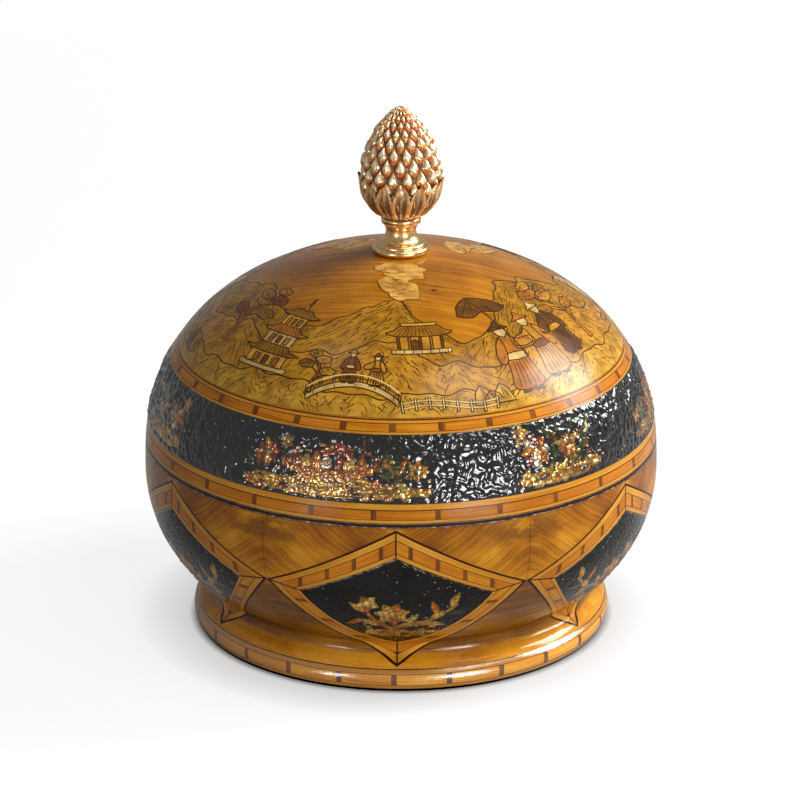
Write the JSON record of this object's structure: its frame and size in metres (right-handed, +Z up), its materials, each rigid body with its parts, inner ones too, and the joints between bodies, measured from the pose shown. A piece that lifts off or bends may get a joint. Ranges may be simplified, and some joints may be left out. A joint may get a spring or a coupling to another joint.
{
  "type": "lidded box",
  "caption": "Round domed box with a lift-off lid, banded satinwood veneer, black lacquer lozenge panels and band, a coved foot and a gilt cone finial.",
  "frame": {"origin": "centre of the felt's underside, on the surface that the box stands on", "axes": "+Z up along the common centre line of box, lid and finial; -Y is the front, which one lozenge panel faces; +X is the viewer's right"},
  "size_m": [0.305, 0.305, 0.3165],
  "materials": {
    "core_wood": "plain turned and laminated core wood, sealed, seen only at the rims and inside faces",
    "satinwood": "honey-gold satinwood veneer under clear gloss lacquer",
    "banding": "cross-cut blocks and light and dark stringing under clear gloss lacquer",
    "dark_edging": "dark stained hardwood edging, lightly worn",
    "black_lacquer": "thick black lacquer with a crackled, rippled gloss and raised coloured work",
    "gilding": "carved wood, gilded over red bole that shows in the recesses",
    "felt": "dark brown felt",
    "steel": "plain bright steel"
  },
  "bodies": {
    "base": {"base_bowl": "core_wood", "floor_disc": "core_wood", "foot_plinth": "core_wood", "base_felt": "felt", "foot_banding": "banding", "apron_veneer": "satinwood", "spandrel_veneer": "satinwood", "lozenge_banding": "banding", "lozenge_panels": "black_lacquer", "base_rim_edging": "dark_edging", "base_floor_lining": "felt", "base_wall_lining": "felt"},
    "lid": {"lid_dome": "core_wood", "lid_locating_ring": "core_wood", "lid_rim_edging": "dark_edging", "lower_banding": "banding", "band_panel": "black_lacquer", "upper_banding": "banding", "crown_veneer": "satinwood", "lid_lining": "felt", "finial_neck": "gilding", "finial_calyx": "gilding", "finial_cone": "gilding", "finial_stud": "steel", "finial_washer": "steel", "finial_nut": "steel"}
  },
  "joints": [
    {"name": "lid_lift", "type": "slide", "parent": "base", "child": "lid", "axis": [0, 0, 1], "range_m": [0, 0.15]}
  ]
}
